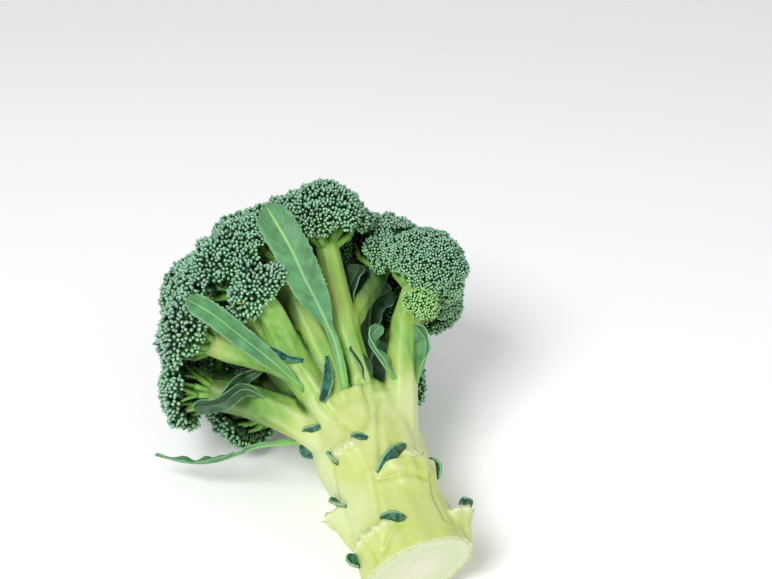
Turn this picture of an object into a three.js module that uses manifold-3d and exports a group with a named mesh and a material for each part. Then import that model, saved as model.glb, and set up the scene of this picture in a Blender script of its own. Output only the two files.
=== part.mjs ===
// A broccoli head with its stalk, lying on its side on the crown and the cut end.
// Millimetres. While it is built, +Y runs along the stalk from the cut end to the crown, +X is across it and
// +Z is the side that faces up. At the end the head is tilted until crown and cut end both meet the surface.
import * as THREE from "three";
import { mergeVertices } from "three/addons/utils/BufferGeometryUtils.js";
import Module from "manifold-3d";

const wasm = await Module();
wasm.setup();

// Driving dimensions.
const GAP = 0.3; // clearance between neighbouring pieces
const CUT_RADIUS = 25.5; // the stalk at its cut end
const STALK_RADIUS = 22.5; // the stalk at its waist
const FORK_HEIGHT = 75; // cut end to the fork, where the stalk splits into branches
const FORK_RADIUS = 24.5; // the stalk just below the fork
const LEADER_HEIGHT = 58; // fork to the tip of the stalk's own continuation
const CROWN_SPREAD = 60; // stalk axis to the middles of the outermost bud heads
const CROWN_RISE = 117; // fork to the middle of a bud head of along 1
const HEAD_RADIUS = 21; // a bud head of size 1
const HEAD_SKIRT = 0.35; // how far a bud head reaches back past its middle, as a share of its radius
const REST_FLAT = 2; // how far the crown is pressed flat where it rests
const BRANCH_RADIUS = 7.4; // a branch of thickness 1 near the stalk
const BRANCH_TAPER = 0.74; // a branch's radius at its bud head, as a share of that at the stalk
const BRANCH_SEAT = 3; // how far a branch reaches into its bud head
const LEAF_THICKNESS = 1.6;
const SHOOT_RADIUS = 9; // the small late bud head on the upper right branch
const SCAR_LENGTH = 26; // the swelling under a leaf scar, along the stalk

// Facets.
const STALK_SIDES = 14;
const LIMB_SIDES = 7;
const LIMB_STEPS = 5;
const HEAD_SIDES = 11;
const HEAD_RINGS = 7;
const LEAF_STEPS = 7;

const COLOURS = {
  stalk: 0xc3d87a,
  branch: 0x9cc65a,
  buds: 0x2f6347,
  shoot: 0x5fa552,
  leaf: 0x3f8a5a,
  stub: 0x1f5f45,
};

// Bud heads. at is [across, along, up]: across and up are shares of CROWN_SPREAD from the stalk axis,
// along is a share of CROWN_RISE above the fork. size is a share of HEAD_RADIUS.
const HEADS = {
  right_upper: { at: [0.79, 0.44, 0.67], size: 1.08 },
  top_right: { at: [0.15, 0.74, 0.77], size: 1.08 },
  top_left: { at: [-0.28, 0.74, 0.67], size: 1.02 },
  left_upper: { at: [-0.67, 0.65, 0.60], size: 1.06 },
  left_inner: { at: [-0.55, 0.48, 0.75], size: 0.68 },
  left: { at: [-0.97, 0.50, 0.33], size: 1.03 },
  left_lower: { at: [-1.03, 0.40, -0.12], size: 1.02 },
  under_left: { at: [-0.60, 0.38, -0.57], size: 0.9 },
  under_middle: { at: [0.03, 0.35, -0.70], size: 0.95 },
  under_right: { at: [0.62, 0.37, -0.57], size: 0.9 },
  right: { at: [0.97, 0.54, 0.03], size: 1.0 },
  right_shoulder: { at: [0.68, 0.68, 0.40], size: 1.0 },
  crown_right: { at: [0.23, 0.95, 0.23], size: 1.05 },
  crown_left: { at: [-0.32, 0.95, 0.13], size: 1.05 },
  crown_under: { at: [0.10, 0.93, -0.33], size: 1.05 },
  back_left: { at: [-0.80, 0.78, 0.10], size: 1.05 },
  back_under_left: { at: [-0.50, 0.86, -0.40], size: 1.05 },
  back_right: { at: [0.63, 0.81, -0.13], size: 1.05 },
  back_lower_left: { at: [-0.92, 0.62, -0.50], size: 0.98 },
  rest_left: { at: [-0.43, 0.62, -0.83], size: 1.0 },
  rest_right: { at: [0.27, 0.62, -0.83], size: 1.0 },
  back_lower_right: { at: [0.73, 0.61, -0.60], size: 0.98 },
};

// Branches, in the order in which they take their room at the fork. from is where each leaves the stalk, as
// a share of FORK_HEIGHT, and turn on which side of it, in degrees from +X towards +Z, where that is not
// straight towards its bud head; thickness is a share of BRANCH_RADIUS; heads are what it carries, the first
// at its end and the others on side limbs.
const BRANCHES = {
  right_upper: { from: 0.5, thickness: 1.15, heads: ["right_upper"] },
  left_upper: { from: 0.78, thickness: 1.3, heads: ["left_upper", "left_inner", "left"] },
  top: { from: 0.9, thickness: 1, heads: ["top_right", "right_shoulder"] },
  top_left: { from: 0.86, thickness: 1.05, heads: ["top_left"] },
  left: { from: 0.8, thickness: 1.35, turn: 160, heads: ["left_lower"] },
  under: { from: 0.62, thickness: 1.1, heads: ["under_middle", "under_right", "under_left"] },
  right: { from: 0.74, thickness: 1, heads: ["right"] },
  back_left: { from: 1, thickness: 0.9, heads: ["back_left"] },
  back_right: { from: 0.98, thickness: 0.9, heads: ["back_right", "back_lower_right"] },
  rest: { from: 0.88, thickness: 0.95, heads: ["rest_left", "rest_right"] },
  back_lower_left: { from: 0.84, thickness: 0.85, heads: ["back_lower_left"] },
};

// Heads that the stalk's own continuation carries.
const LEADER_HEADS = ["crown_right", "crown_left", "crown_under", "back_under_left"];

// Leaf scars round the stalk: turn is degrees from +X towards +Z, height is along the stalk as a share of
// FORK_HEIGHT, width is half the scar's width and rise is how far its swelling stands out of the stalk.
const SCARS = [
  { turn: 22, height: 0.21, width: 10, rise: 8 },
  { turn: 138, height: 0.21, width: 14, rise: 4 },
  { turn: 190, height: 0.51, width: 11, rise: 6.5 },
  { turn: 62, height: 0.56, width: 16, rise: 4.5 },
  { turn: 124, height: 0.76, width: 10, rise: 3 },
  { turn: 275, height: 0.4, width: 12, rise: 2 },
  { turn: 325, height: 0.76, width: 11, rise: 4 },
  { turn: 232, height: 0.85, width: 10, rise: 3.5 },
  { turn: 100, height: 1.12, width: 13, rise: 2.5 },
];

// What is left of cut leaves: short flaps standing on the stalk beside the scars. lean is the angle
// between a flap and the stalk; it stands from out to out + wide beyond the stalk's waist.
const STUBS = [
  { turn: 22, height: 0.235, long: 9, out: 0, wide: 10, lean: 85 },
  { turn: 114, height: 0.237, long: 10, out: 0, wide: 5, lean: 68 },
  { turn: 184, height: 0.173, long: 7, out: 1, wide: 5, lean: 12 },
  { turn: 170, height: 0.547, long: 11, out: 0, wide: 7, lean: 60 },
  { turn: 86, height: 0.6, long: 19, out: 0, wide: 5, lean: -63 },
  { turn: 26, height: 0.533, long: 11, out: 0.5, wide: 4, lean: -8 },
  { turn: 111, height: 0.8, long: 8, out: 0, wide: 5, lean: 62 },
  { turn: 146, height: 0.747, long: 7, out: 0, wide: 4, lean: 15 },
  { turn: 158, height: 1.04, long: 12, out: 4, wide: 5, lean: 69 },
  { turn: 188, height: 1, long: 8, out: 2.5, wide: 5, lean: -15 },
];

// Leaves. Each grows from a branch, at a share of the branch's length. path is its line from there to the
// tip as [across, along, up] in millimetres from the branch's middle; face is the way that the middle of the
// blade faces. blade is the share of the length that is blade and not leaf stalk, and fold is how far the
// margins stand up, as a share of the width.
const LEAVES = {
  front_long: {
    from: ["top_left", 0.25],
    path: [[1, -3, 6], [2.5, 15, 15.5], [-0.5, 30, 25.5], [-4.5, 43, 34.5], [-7.5, 56, 42.5], [-12.5, 78, 49.5]],
    face: [-0.25, -0.5, 0.83], wide: 18, blade: 0.62, fold: 0.1,
  },
  left_long: {
    from: ["left_upper", 0.4],
    path: [[-5, -3, 4.5], [-18, 9, 17], [-29, 20, 25], [-39, 30, 32], [-48, 39, 35]],
    face: [-0.2, -0.6, 0.78], wide: 11, blade: 0.8, fold: 0.25,
  },
  left_branch: {
    from: ["left", 0.6],
    path: [[0, 0, 6], [-12, 6, 13], [-24, 3, 11], [-36, 7, 7]],
    face: [-0.2, -0.75, 0.63], wide: 9, blade: 0.85, fold: 0.2,
  },
  left_inner: {
    from: ["left_upper", 0.6],
    path: [[-4, 0, -4], [-17, 2, -13], [-24, -1, -12], [-34, -8, -13]],
    face: [-0.2, -0.75, 0.63], wide: 8, blade: 0.85, fold: 0.2,
  },
  trailing: {
    from: ["left", 0.3],
    path: [[-5, -3, -3], [-23, 7, -13], [-32, 12, -23], [-42, 17, -33], [-53, 25, -41], [-66, 36, -45]],
    face: [0.1, 0.75, 0.65], wide: 8, blade: 0.75, fold: 0.15,
  },
  inner_left: {
    from: ["top", 0.5],
    path: [[3, 0, -2], [6, 14, -1], [11, 25, 2], [19, 34, 5]],
    face: [-0.8, -0.5, 0.35], wide: 9, blade: 0.95, fold: 0.2,
  },
  inner_middle: {
    from: ["top", 0.4],
    path: [[3, 4, -3], [11, 22, -1], [17, 34, 1], [24, 44, 2]],
    face: [-0.65, -0.6, 0.45], wide: 8, blade: 0.95, fold: 0.15,
  },
  inner_right: {
    from: ["back_right", 0.5],
    path: [[-2, 0, 3], [5, 16, 17], [17, 21, 18]],
    face: [-0.3, -0.75, 0.6], wide: 12, blade: 0.95, fold: 0.15,
  },
  inner_dark: {
    from: ["back_right", 0.1],
    path: [[0, 0, 4.5], [3, 21, 11], [13, 35, 10]],
    face: [-0.25, -0.65, 0.7], wide: 18, blade: 0.95, fold: 0.1,
  },
  bract: {
    from: ["top", 0.2],
    path: [[3, -1, 5], [3, 9, 10], [0, 18, 13]],
    face: [0.5, -0.6, 0.6], wide: 7, blade: 1, fold: 0.1,
  },
  right_curl_left: {
    from: ["right_upper", 0.5],
    path: [[-3, -1, 5], [-9, 8, 14], [-11, 16, 17], [-4, 21, 19]],
    face: [0.75, 0.1, 0.65], wide: 6, blade: 1, fold: 0.2,
  },
  right_curl_right: {
    from: ["right_upper", 0.5],
    path: [[5, -3, 2], [12, 4, 6], [16, 12, 11], [13, 20, 15]],
    face: [-0.8, 0.3, 0.5], wide: 8, blade: 1, fold: 0.2,
  },
};

const vector = (x, y, z) => new THREE.Vector3(x, y, z);
const radians = THREE.MathUtils.degToRad;
const sum = (a, b, share = 1) => a.clone().addScaledVector(b, share);

// A closed three.js geometry as a manifold-3d solid, and back.
function solid(geometry) {
  const bare = new THREE.BufferGeometry().setAttribute("position", geometry.getAttribute("position"));
  if (geometry.index) bare.setIndex(geometry.index);
  const merged = mergeVertices(bare, 1e-3);
  return new wasm.Manifold(
    new wasm.Mesh({
      numProp: 3,
      vertProperties: new Float32Array(merged.getAttribute("position").array),
      triVerts: new Uint32Array(merged.index.array),
    }),
  );
}

function geometryOf(body) {
  const mesh = body.getMesh();
  const geometry = new THREE.BufferGeometry();
  geometry.setAttribute("position", new THREE.BufferAttribute(new Float32Array(mesh.vertProperties), 3));
  geometry.setIndex(new THREE.BufferAttribute(new Uint32Array(mesh.triVerts), 1));
  return geometry;
}

// The largest body of a solid: what is left of a limb beyond the neighbours that took their room first.
function largest(body) {
  return body.decompose().reduce((a, b) => (a.volume() > b.volume() ? a : b));
}

// Moves each vertex of a geometry to move(vertex).
function reshaped(geometry, move) {
  const at = geometry.getAttribute("position");
  const v = new THREE.Vector3();
  for (let i = 0; i < at.count; i++) {
    v.fromBufferAttribute(at, i);
    at.setXYZ(i, ...move(v).toArray());
  }
  return geometry;
}

// A round limb along a curve, with its radius given at each share of the length, closed at both ends.
function limb(curve, radiusAt, grow = 0) {
  const profile = [new THREE.Vector2(0, 0)];
  for (let i = 0; i <= LIMB_STEPS; i++) profile.push(new THREE.Vector2(radiusAt(i / LIMB_STEPS) + grow, i));
  profile.push(new THREE.Vector2(0, LIMB_STEPS));
  const frames = curve.computeFrenetFrames(LIMB_STEPS);
  const tube = reshaped(new THREE.LatheGeometry(profile, LIMB_SIDES), (v) => {
    const step = Math.round(v.y);
    return curve
      .getPointAt(step / LIMB_STEPS)
      .addScaledVector(frames.normals[step], v.x)
      .addScaledVector(frames.binormals[step], -v.z);
  });
  return solid(tube);
}

const headOf = (name) => {
  const { at, size } = HEADS[name];
  const middle = vector(at[0] * CROWN_SPREAD, FORK_HEIGHT + at[1] * CROWN_RISE, at[2] * CROWN_SPREAD);
  const heart = vector(0, FORK_HEIGHT + 0.1 * CROWN_RISE, 0);
  return { name, middle, radius: size * HEAD_RADIUS, facing: middle.clone().sub(heart).normalize() };
};

// The middle of a bud head's underside, where its branch comes in.
const footOf = (head) => sum(head.middle, head.facing, -HEAD_SKIRT * head.radius);
const seatOf = (head) => sum(footOf(head), head.facing, BRANCH_SEAT);

// The curve of a branch: out of the stalk at its own height, up beside it, and into its first bud head.
function branchCurve({ from, turn, heads }) {
  const head = headOf(heads[0]);
  const end = seatOf(head);
  const outward = turn === undefined ? vector(end.x, 0, end.z).normalize() : onStalk(turn, 0, 0).outward;
  const start = vector(0, from * FORK_HEIGHT, 0).addScaledVector(outward, 0.35 * STALK_RADIUS);
  const reach = end.distanceTo(start);
  const beside = vector(0, start.y + 0.28 * reach, 0).addScaledVector(outward, STALK_RADIUS);
  return new THREE.CubicBezierCurve3(start, beside, sum(end, head.facing, -0.3 * reach), end);
}

// A side limb from share t of another curve into a further bud head.
function sideCurve(curve, t, name) {
  const head = headOf(name);
  const start = curve.getPointAt(t);
  const end = seatOf(head);
  const reach = end.distanceTo(start);
  const ahead = curve.getTangentAt(t);
  return new THREE.CubicBezierCurve3(
    start, sum(start, ahead, 0.3 * reach), sum(end, head.facing, -0.35 * reach), end);
}

function branchSolid(branch, grow = 0) {
  const curve = branchCurve(branch);
  const radius = branch.thickness * BRANCH_RADIUS;
  let body = limb(curve, (t) => radius * (1 - (1 - BRANCH_TAPER) * t), grow);
  for (const name of branch.heads.slice(1)) {
    const side = sideCurve(curve, 0.45, name);
    body = body.add(limb(side, (t) => 0.78 * radius * (1 - 0.2 * t), grow));
  }
  return body;
}

// The leader's own line and its side limbs to the heads round the crown's tip.
function leaderSolid(grow = 0) {
  const line = new THREE.LineCurve3(vector(0, FORK_HEIGHT - 6, 0), vector(0, FORK_HEIGHT + LEADER_HEIGHT, 0));
  let body = limb(line, (t) => 15 - 5 * t, grow);
  for (const name of LEADER_HEADS) {
    body = body.add(limb(sideCurve(line, 0.62, name), (t) => 6.4 - 1.2 * t, grow));
  }
  return body;
}

// The place on the stalk's surface at a turn and height, its outward direction, and the way round.
function onStalk(turn, height, radius) {
  const outward = vector(Math.cos(radians(turn)), 0, Math.sin(radians(turn)));
  return {
    outward,
    round: vector(-outward.z, 0, outward.x),
    point: vector(0, height, 0).addScaledVector(outward, radius),
  };
}

// The stalk's radius along its length: flared at the cut, a waist, and wider again towards the fork.
const STALK_PROFILE = new THREE.CatmullRomCurve3([
  vector(CUT_RADIUS, 0, 0),
  vector(0.5 * (CUT_RADIUS + STALK_RADIUS), 0.15 * FORK_HEIGHT, 0),
  vector(STALK_RADIUS, 0.5 * FORK_HEIGHT, 0),
  vector(FORK_RADIUS, 0.95 * FORK_HEIGHT, 0),
  vector(0.62 * FORK_RADIUS, FORK_HEIGHT + 8, 0),
]);

// The swelling that carried a leaf: it grows out of the stalk and ends in a flat scar.
function scarSolid({ turn, height, width, rise }, grow) {
  const { outward, round, point } = onStalk(turn, height * FORK_HEIGHT, STALK_RADIUS);
  const cone = new THREE.CylinderGeometry(1, 0.35, SCAR_LENGTH, 10, 1).translate(0, -SCAR_LENGTH / 2, 0);
  const depth = rise + grow + 5;
  return solid(reshaped(cone, (v) =>
    sum(sum(sum(point, outward, v.x * depth - 5), round, v.z * (width + grow)), vector(0, 1, 0), v.y + grow)));
}

function stalkSolid(grow = 0) {
  const profile = [new THREE.Vector2(0, -grow)];
  for (const p of STALK_PROFILE.getPoints(9)) profile.push(new THREE.Vector2(p.x + grow, p.y));
  profile[1].y -= grow;
  profile.push(new THREE.Vector2(0, FORK_HEIGHT + 8));
  let body = solid(new THREE.LatheGeometry(profile, STALK_SIDES));
  for (const scar of SCARS) body = body.add(scarSolid(scar, grow));
  return body.trimByPlane([0, 1, 0], -grow);
}

// A strip of leaf along a curve: narrow leaf stalk, then a blade that widens and rounds off at the tip.
function leafSolid({ from, path, face, wide, blade, fold }, grow = 0) {
  const base = branchCurve(BRANCHES[from[0]]).getPointAt(from[1]);
  const curve = new THREE.CatmullRomCurve3(path.map((step) => base.clone().add(vector(...step))));
  return stripSolid(curve, vector(...face), wide, 1 - blade, fold, LEAF_STEPS, grow);
}

function stripSolid(curve, face, wide, stem, fold, steps, grow = 0) {
  const widthAt = (t) => {
    if (t < stem) return 0.3 * wide + 2 * grow;
    const along = (t - stem) / (1 - stem);
    return wide * (0.3 + 0.7 * Math.sin(Math.PI * Math.min(1, 0.12 + 0.8 * along ** 1.4)) ** 0.8) + 2 * grow;
  };
  const strip = new THREE.BoxGeometry(1, steps, LEAF_THICKNESS + 2 * grow, 2, steps, 1);
  return solid(reshaped(strip, (v) => {
    const t = THREE.MathUtils.clamp(v.y / steps + 0.5, 0, 1);
    const tangent = curve.getTangentAt(t);
    const side = tangent.clone().cross(face).normalize();
    const normal = side.clone().cross(tangent).normalize();
    const width = widthAt(t);
    const lift = v.z + fold * width * Math.abs(v.x) * 2;
    return sum(sum(curve.getPointAt(t), side, v.x * width), normal, lift);
  }));
}

// A flap standing on the stalk.
function stubSolid({ turn, height, long, out, wide, lean }, grow = 0) {
  const { outward, round, point } = onStalk(turn, height * FORK_HEIGHT, STALK_RADIUS + out + 0.5 * wide);
  const along = vector(0, Math.cos(radians(lean)), 0).addScaledVector(round, Math.sin(radians(lean)));
  const curve = new THREE.QuadraticBezierCurve3(
    sum(point, along, -long / 2), sum(point, outward, 0.25 * wide), sum(point, along, long / 2));
  return stripSolid(curve, along.clone().cross(outward), wide, 0, 0, 4, grow);
}

// Two bud heads that meet share a flat face, with the gap between them.
function cutByNeighbours(body, head, others) {
  for (const other of others) {
    const across = other.middle.clone().sub(head.middle);
    const apart = across.length();
    if (other === head || apart > head.radius + other.radius) continue;
    const away = across.divideScalar(-apart);
    const toFace = (apart ** 2 + head.radius ** 2 - other.radius ** 2) / (2 * apart);
    body = body.trimByPlane(away.toArray(), away.dot(head.middle) - toFace + GAP / 2);
  }
  return body;
}

function headSolid(head, others, limbs, surface) {
  const ball = new THREE.SphereGeometry(head.radius, HEAD_SIDES, HEAD_RINGS).translate(...head.middle.toArray());
  let body = cutByNeighbours(solid(ball), head, others);
  body = body.trimByPlane(head.facing.toArray(), head.facing.dot(footOf(head)));
  body = body.trimByPlane(surface.up.toArray(), surface.level);
  for (const other of limbs) body = body.subtract(other);
  return largest(body);
}

// How far the head tilts to rest on its crown: the lowest bud heads are pressed flat by REST_FLAT.
function restTilt(heads) {
  const tilts = heads.map(({ middle, radius }) => {
    const below = -CUT_RADIUS - middle.z;
    const reach = Math.hypot(below, middle.y);
    return Math.atan2(below, middle.y) + Math.asin((radius - REST_FLAT) / reach);
  });
  return Math.max(...tilts);
}

function build() {
  const head = new THREE.Group();
  const piece = (name, body, colour, roughness) => {
    const material = new THREE.MeshStandardMaterial({ color: colour, roughness, metalness: 0 });
    const mesh = new THREE.Mesh(geometryOf(body), material);
    mesh.name = name;
    head.add(mesh);
  };

  const heads = Object.keys(HEADS).map(headOf);
  const tilt = restTilt(heads);
  // The surface that it lies on, seen from the head's own frame, through the lowest point of the cut end.
  const up = vector(0, Math.sin(tilt), Math.cos(tilt));
  const surface = { up, level: -CUT_RADIUS * Math.cos(tilt) };

  const stalk = stalkSolid().trimByPlane(up.toArray(), surface.level);
  piece("stalk", stalk, COLOURS.stalk, 0.45);

  // Each limb leaves room for those before it, and keeps its own grown shape for those after it.
  const taken = [stalkSolid(GAP)];
  piece("leader", largest(leaderSolid().subtract(taken[0])), COLOURS.branch, 0.45);
  taken.push(leaderSolid(GAP));
  for (const [name, branch] of Object.entries(BRANCHES)) {
    let body = branchSolid(branch);
    for (const other of taken) body = body.subtract(other);
    piece(`branch_${name}`, largest(body), COLOURS.branch, 0.45);
    taken.push(branchSolid(branch, GAP));
  }

  const headBodies = heads.map((each) => headSolid(each, heads, taken, surface));
  heads.forEach((each, i) => piece(`bud_head_${each.name}`, headBodies[i], COLOURS.buds, 0.8));

  const fixed = [...taken, ...headBodies];
  const clear = (body) => largest(fixed.reduce((a, b) => a.subtract(b), body));

  // The late shoot stands on the upper right branch.
  const perch = branchCurve(BRANCHES.right_upper).getPointAt(0.8);
  const shootMiddle = sum(perch, vector(0.4, -0.06, 0.91), BRANCH_RADIUS + 0.8 * SHOOT_RADIUS);
  const shoot = (grow) =>
    solid(new THREE.SphereGeometry(SHOOT_RADIUS + grow, HEAD_SIDES, HEAD_RINGS)).translate(shootMiddle.toArray());
  piece("bud_head_late_shoot", clear(shoot(0)), COLOURS.shoot, 0.8);
  fixed.push(shoot(GAP));

  for (const [name, leaf] of Object.entries(LEAVES)) {
    piece(`leaf_${name}`, clear(leafSolid(leaf)), COLOURS.leaf, 0.6);
    fixed.push(leafSolid(leaf, GAP));
  }
  STUBS.forEach((stub, i) => {
    piece(`leaf_stub_${i + 1}`, clear(stubSolid(stub)), COLOURS.stub, 0.6);
    fixed.push(stubSolid(stub, GAP));
  });

  head.rotation.x = tilt;
  const part = new THREE.Group().add(head);
  part.updateMatrixWorld(true);
  const box = new THREE.Box3().setFromObject(part, true);
  const middle = box.getCenter(new THREE.Vector3());
  head.position.set(-middle.x, -middle.y, -box.min.z);
  return part;
}

export default build();
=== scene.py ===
"""Builds a broccoli head that lies on its side: stalk and branches, bud heads, leaves and leaf stubs."""

import math
import random
from itertools import product

import bmesh
import bpy
import numpy as np
from mathutils import Matrix, Vector, noise
from mathutils.bvhtree import BVHTree
from mathutils.kdtree import KDTree


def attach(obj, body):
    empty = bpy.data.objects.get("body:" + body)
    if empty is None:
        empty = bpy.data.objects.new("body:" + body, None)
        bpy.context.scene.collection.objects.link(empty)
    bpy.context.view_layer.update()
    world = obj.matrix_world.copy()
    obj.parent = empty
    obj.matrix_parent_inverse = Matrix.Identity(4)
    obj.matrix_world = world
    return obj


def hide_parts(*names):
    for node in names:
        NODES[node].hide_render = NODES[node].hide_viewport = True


bl_info = {
    "name": "Broccoli head",
    "version": (1, 0, 0),
    "blender": (4, 5, 0),
    "location": "View3D > Sidebar > Broccoli",
    "description": "Builds a cut broccoli head lying on its side",
    "category": "Add Mesh",
}

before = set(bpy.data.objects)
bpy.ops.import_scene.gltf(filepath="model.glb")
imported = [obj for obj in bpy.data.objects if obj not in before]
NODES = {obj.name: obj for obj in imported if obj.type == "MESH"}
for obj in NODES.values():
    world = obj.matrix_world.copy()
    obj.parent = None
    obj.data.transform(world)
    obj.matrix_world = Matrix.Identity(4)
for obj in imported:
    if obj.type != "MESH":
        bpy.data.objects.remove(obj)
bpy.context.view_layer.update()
MM = 0.001

HEART_HEIGHT = 86.7  # cut end to the place that all bud heads face away from, in mm along the stalk

# Camera place and aim, in mm from the middle of the cut end.
CAMERA_PLACE = (-172.68, -388.10, 446.07)
CAMERA_AIM = (23.71, 97.98, 78.98)

# Leaf stubs, in the order of their solids: turn, height, length, width and lean.
STUBS = [
    (23, 17.5, 10, 3.5, 80),
    (112, 15.5, 10, 4, 68),
    (184, 13, 7, 5, 12),
    (171, 39, 11, 5, 40),
    (86, 43.5, 19, 5.5, -63),
    (26, 40, 11, 3.5, -8),
    (111, 58, 7, 3, 62),
    (146, 56, 7, 4, 15),
    (158, 76, 12, 3.2, 69),
    (188, 75, 8, 5, -15),
]
WAIST_RADIUS = 22.5

# Leaves: line from the attached end to the tip as across, along and up in mm from the cut end; the way that
# the blade faces; its width; the share of the length that is blade; and how far the margins stand up.
LEAVES = {
    "leaf_front_long": (
        [(-5.7, 84.4, 21.9), (-4.2, 102.4, 31.4), (-7.2, 117.4, 41.4), (-11.2, 130.4, 50.4),
         (-14.2, 143.4, 58.4), (-19.2, 165.4, 65.4)],
        (-0.25, -0.5, 0.83), 15.5, 0.68, 0.12),
    "leaf_left_long": (
        [(-22.7, 91.8, 20.3), (-35.7, 103.8, 32.8), (-46.7, 114.8, 40.8), (-56.7, 124.8, 47.8),
         (-65.7, 133.8, 50.8)],
        (-0.2, -0.6, 0.78), 9, 0.92, 0.3),
    "leaf_left_branch": (
        [(-34.5, 99, 5.3), (-46.5, 105, 12.3), (-58.5, 102, 10.3), (-70.5, 106, 6.3)],
        (-0.2, -0.75, 0.63), 6.5, 0.85, 0.2),
    "leaf_left_inner": (
        [(-27.3, 113.1, 16.8), (-40.3, 115.1, 7.8), (-47.3, 112.1, 8.8), (-57.3, 105.1, 7.8)],
        (-0.2, -0.75, 0.63), 5.5, 0.85, 0.2),
    "leaf_trailing": (
        [(-25.3, 77.1, 0.3), (-43.3, 87.1, -9.7), (-52.3, 92.1, -19.7), (-62.3, 97.1, -29.7),
         (-73.3, 105.1, -37.7), (-86.3, 116.1, -41.7)],
        (0.1, 0.75, 0.65), 6, 0.8, 0.15),
    "leaf_inner_left": (
        [(7.9, 112.7, 23.1), (10.9, 126.7, 24.1), (15.9, 137.7, 27.1), (23.9, 146.7, 30.1)],
        (-0.8, -0.5, 0.35), 9, 0.95, 0.2),
    "leaf_inner_middle": (
        [(7.3, 107.5, 19.1), (15.3, 125.5, 21.1), (21.3, 137.5, 23.1), (28.3, 147.5, 24.1)],
        (-0.65, -0.6, 0.45), 8, 0.95, 0.15),
    "leaf_inner_right": (
        [(20.6, 119.2, -1.7), (27.6, 135.2, 12.3), (39.6, 140.2, 13.3)],
        (-0.3, -0.75, 0.6), 12, 0.95, 0.15),
    "leaf_inner_dark": (
        [(11.8, 82.2, 2.1), (14.8, 103.2, 8.6), (24.8, 117.2, 7.6)],
        (-0.25, -0.65, 0.7), 18, 0.95, 0.1),
    "leaf_bract": (
        [(6, 84.2, 20.6), (6, 94.2, 25.6), (3, 103.2, 28.6)],
        (0.5, -0.6, 0.6), 7, 1, 0.1),
    "leaf_right_curl_left": (
        [(18.6, 82.7, 23.3), (12.6, 91.7, 32.3), (10.6, 99.7, 35.3), (17.6, 104.7, 37.3)],
        (0.75, 0.1, 0.65), 6, 1, 0.2),
    "leaf_right_curl_right": (
        [(26.6, 80.7, 20.3), (33.6, 87.7, 24.3), (37.6, 95.7, 29.3), (34.6, 103.7, 33.3)],
        (-0.8, 0.3, 0.5), 8, 1, 0.2),
}


# Dark scale leaves at the feet of the branches: line in the same terms, the way they face, and width.
SCALES = [
    ([(-18, 82, 22.5), (-14, 87, 24), (-11, 93, 25.5), (-8.5, 102, 27)], (-0.5, -0.5, 0.7), 4.5),
    ([(-20, 103, 27), (-26, 105, 29), (-31, 108, 31.5), (-37, 112, 34)], (-0.2, -0.9, 0.4), 3.5),
    ([(7, 108, 23), (6, 119, 25), (9, 129, 27)], (-0.7, -0.5, 0.5), 4),
    ([(27, 84, 22), (29, 96, 27), (30, 108, 31)], (0.8, -0.3, 0.5), 4),
]

# Bud heads that show their fine branches from below: how low their buds reach, as a cosine from the way
# that they face.
OPEN_BELOW = {
    "left_upper": -0.1,
    "left_inner": -0.1,
    "left": 0.3,
    "left_lower": 0.28,
    "under_left": 0.15,
    "under_middle": 0.0,
    "top_right": -0.18,
}

# Bud widths of the heads, as shares of the common width.
BUD_WIDTHS = {
    "right_upper": 0.94,
    "right": 1.05,
    "right_shoulder": 1.05,
    "top_right": 1.08,
    "top_left": 1.12,
    "left_upper": 1.18,
    "left_inner": 1.2,
    "late_shoot": 1.05,
}

# Openings between the bud heads: across, along, up and radius in mm.
GAPS = [(-48, 138, 44, 7.5), (-25, 146, 51, 7)]

# Soft swellings of the stalk: turn and height, distance out, then half width, half length and half thickness.
CUSHIONS = [
    (108, 71, 19, 12, 15, 6),
    (58, 67, 19, 9, 24, 7),
    (148, 88, 21, 8, 16, 6),
]

# Torn edges of the stalk: turns from and to, and height.
TORN_EDGES = [(143, 119, 58), (66, 36, 45.5), (174, 122, 16.5), (40, 4, 15.5), (204, 182, 37.5)]


# Creases of the stalk, each a line of turns and heights.
CREASES = [
    [(129, 85), (129, 79), (125, 70), (114, 63)],
    [(84, 87), (86, 74), (90, 68), (103, 62)],
    [(70, 76), (81, 68), (88, 60), (95, 50), (99, 45)],
    [(146, 61), (152, 54), (161, 47), (172, 40)],
    [(112, 39), (118, 31), (122, 24)],
    [(112, 37), (97, 36), (79, 34), (56, 31)],
    [(52, 33), (56, 21), (58, 10)],
    [(154, 22), (148, 12), (145, 3)],
    [(108, 13), (121, 10), (133, 5)],
    [(205, 60), (212, 45), (216, 20)],
    [(262, 70), (256, 50), (260, 12)],
    [(318, 66), (310, 40), (316, 8)],
    [(8, 62), (2, 40), (6, 22)],
    [(300, 36), (280, 34), (250, 37)],
]

# How far each branch lies in the shade between the others: painted shade, a deeper green, is mixed into its colour
# there.
SHADED = {
    "leader": 1,
    "branch_top_left": 0.1,
    "branch_under": 0.8,
    "branch_back_left": 0.8,
    "branch_back_right": 0.7,
    "branch_back_lower_left": 0.8,
    "branch_rest": 0.8,
    "branch_left": 0.25,
    "branch_left_upper": 0.1,
}

# Deep places between the branches, where painted shade darkens the stem: across, along, up and reach in mm.
SHADE_SPOTS = [(27, 137, 23, 13), (-19, 131, 25, 9), (-30, 120, 14, 8), (-45, 124, 6, 9), (-29, 98, -8, 10)]


# Places in the head's own frame ------------------------------------------------------------------------------


def merged_copy(node):
    """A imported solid's mesh with its loose corners merged."""
    bm = bmesh.new()
    bm.from_mesh(NODES[node].data)
    bmesh.ops.remove_doubles(bm, verts=bm.verts, dist=1e-6)
    bm.normal_update()
    return bm


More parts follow.
